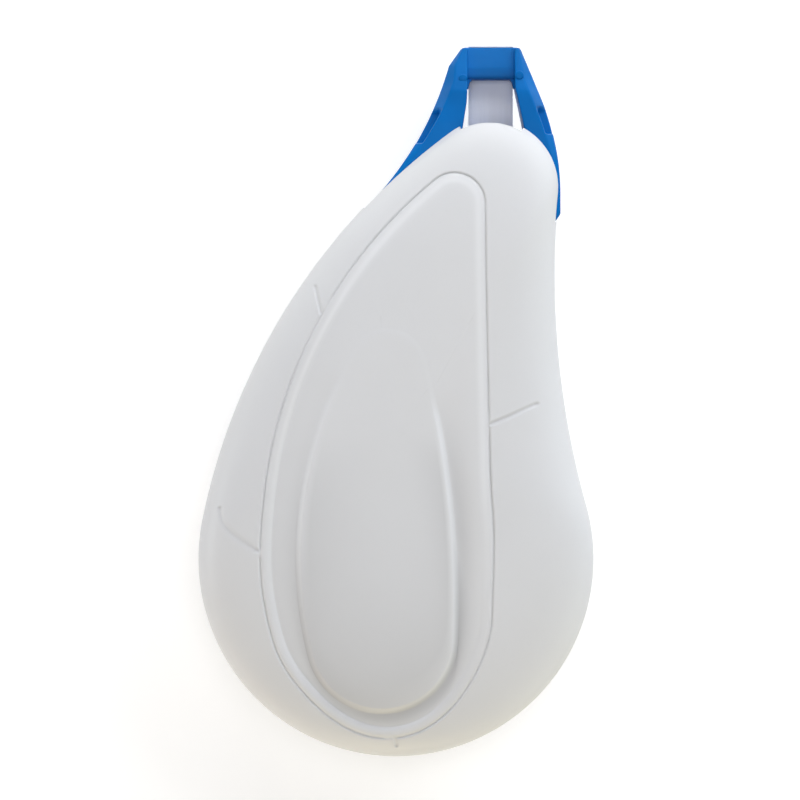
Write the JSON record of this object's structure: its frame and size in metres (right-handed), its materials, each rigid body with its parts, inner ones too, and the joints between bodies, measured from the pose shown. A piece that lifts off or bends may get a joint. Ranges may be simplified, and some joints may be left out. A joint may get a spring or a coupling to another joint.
{
  "type": "correction tape",
  "caption": "Hand-held correction tape with a pear-shaped two-shell case, a yoke head with a tape blade, and geared supply and take-up reels inside.",
  "frame": {"origin": "middle of the part's box, on the flat of the rear shell that it lies on", "axes": "+X to the right across the front face, +Y from the round end to the blade edge, +Z out of the front face"},
  "size_m": [0.0442, 0.0797, 0.016],
  "materials": {
    "white_plastic": "fine satin",
    "blue_plastic": "semi-gloss",
    "gear_plastic": "satin",
    "elastic": "matt",
    "tape": "matt",
    "film": "clear film"
  },
  "bodies": {
    "case": {"front_shell": "white_plastic", "rear_shell": "white_plastic", "applicator_head": "blue_plastic", "feed_tape": "tape", "tip_tape": "tape", "tip_film": "film", "return_film": "film"},
    "supply_spool": {"supply_core": "gear_plastic", "supply_roll": "tape"},
    "supply_drive": {"supply_gear": "gear_plastic", "clutch_ring": "elastic", "slip_disc": "film"},
    "take_up": {"take_up_reel": "gear_plastic", "take_up_flange": "gear_plastic", "take_up_roll": "film"},
    "roller": {"guide_roller": "gear_plastic"}
  },
  "joints": [
    {"name": "supply_spin", "type": "hinge", "parent": "case", "child": "supply_spool", "pos_m": [0, -0.0177, 0.008], "axis": [0, 0, 1], "continuous": true},
    {"name": "drive_spin", "type": "hinge", "parent": "case", "child": "supply_drive", "pos_m": [0, -0.0177, 0.008], "axis": [0, 0, 1], "continuous": true},
    {"name": "take_up_spin", "type": "hinge", "parent": "case", "child": "take_up", "pos_m": [0.0015, 0.00663, 0.008], "axis": [0, 0, 1], "continuous": true},
    {"name": "roller_spin", "type": "hinge", "parent": "case", "child": "roller", "pos_m": [0.0135, 0.01405, 0.008], "axis": [0, 0, 1], "continuous": true}
  ],
  "couplings": [
    {"joint": "drive_spin", "follows": "supply_spin", "ratio": 0.88509},
    {"joint": "take_up_spin", "follows": "supply_spin", "ratio": -2.1429},
    {"joint": "roller_spin", "follows": "supply_spin", "ratio": 10}
  ]
}
